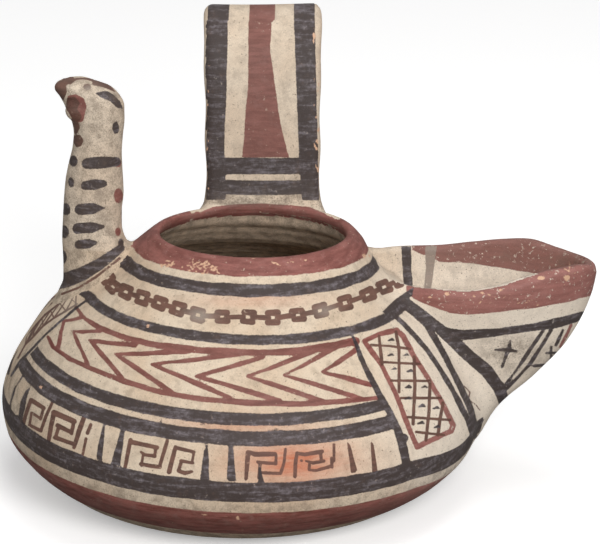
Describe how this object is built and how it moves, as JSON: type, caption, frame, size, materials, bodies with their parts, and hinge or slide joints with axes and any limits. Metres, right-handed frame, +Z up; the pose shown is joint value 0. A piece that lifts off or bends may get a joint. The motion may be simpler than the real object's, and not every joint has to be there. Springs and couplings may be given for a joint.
{
  "type": "strainer vase",
  "caption": "Squat hand-painted clay vase with a wide collared mouth, a tall ribbon handle, a pierced side basin for straining and a bird's head on the shoulder.",
  "frame": {"origin": "middle of the flat underside", "axes": "+X towards the strainer basin, +Y towards the ribbon handle at the rear, +Z up"},
  "size_m": [0.2637, 0.212, 0.1958],
  "materials": {
    "painted_clay": "matt fired clay with worn dark brown, red and cream slip paint"
  },
  "bodies": {
    "root": {"strainer_vase": "painted_clay"}
  },
  "joints": []
}
